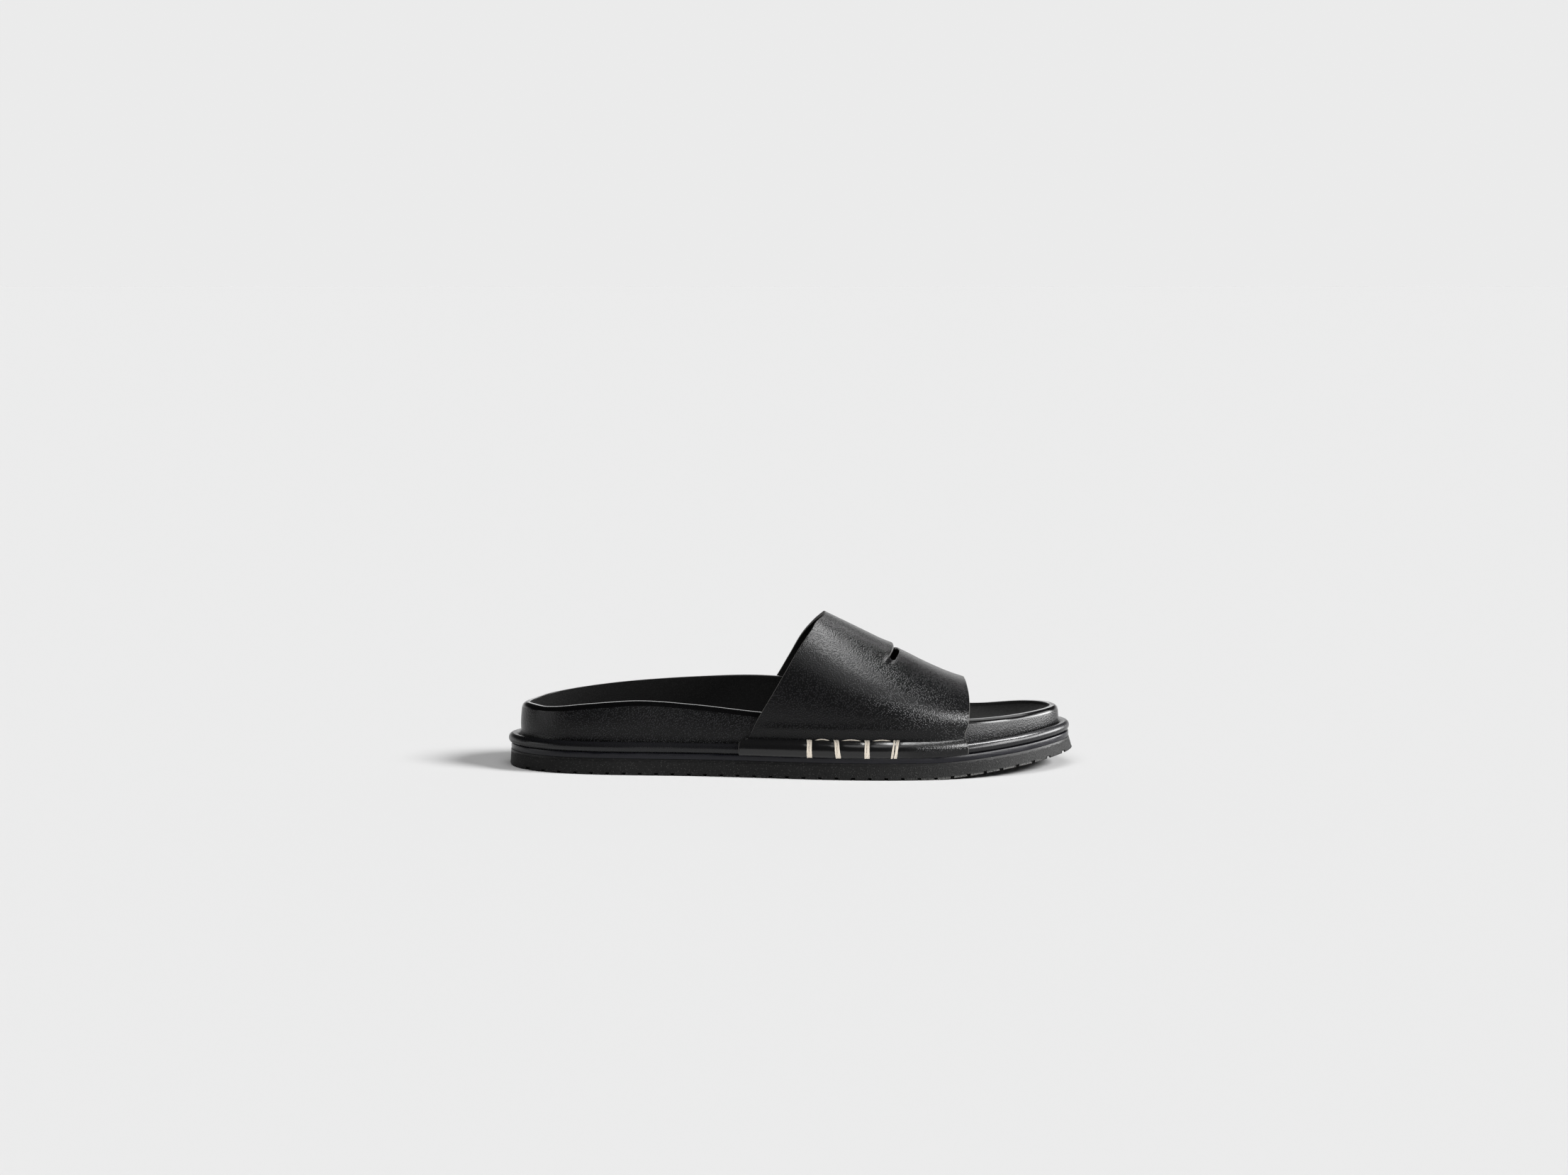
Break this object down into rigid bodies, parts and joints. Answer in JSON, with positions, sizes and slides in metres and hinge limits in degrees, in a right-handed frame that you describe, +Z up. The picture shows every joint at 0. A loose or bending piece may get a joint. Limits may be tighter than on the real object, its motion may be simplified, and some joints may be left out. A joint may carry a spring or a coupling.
{
  "type": "loafer slide",
  "caption": "Backless leather slide for the right foot: arched strap with a keeper slit and rolled stitched hems over a piped, dished footbed on a ribbed rubber sole.",
  "frame": {"origin": "on the floor, under the middle of the shoe's box", "axes": "+X from heel to toe, +Y from the outer side of the foot to the inner side, +Z up"},
  "size_m": [0.289, 0.1078, 0.0785],
  "materials": {
    "outsole_rubber": "matt, finely speckled moulded rubber",
    "midsole_lacquer": "smooth lacquered edge",
    "piping_leather": "smooth glossy black leather",
    "footbed_leather": "fine-grained satin black leather",
    "lining_leather": "smooth matt black lining leather",
    "strap_leather": "pebbled satin black leather",
    "stitch_thread": "cream waxed thread"
  },
  "bodies": {
    "root": {"outsole": "outsole_rubber", "midsole": "midsole_lacquer", "welt_piping": "piping_leather", "footbed": "footbed_leather", "strap": "strap_leather"}
  },
  "joints": []
}
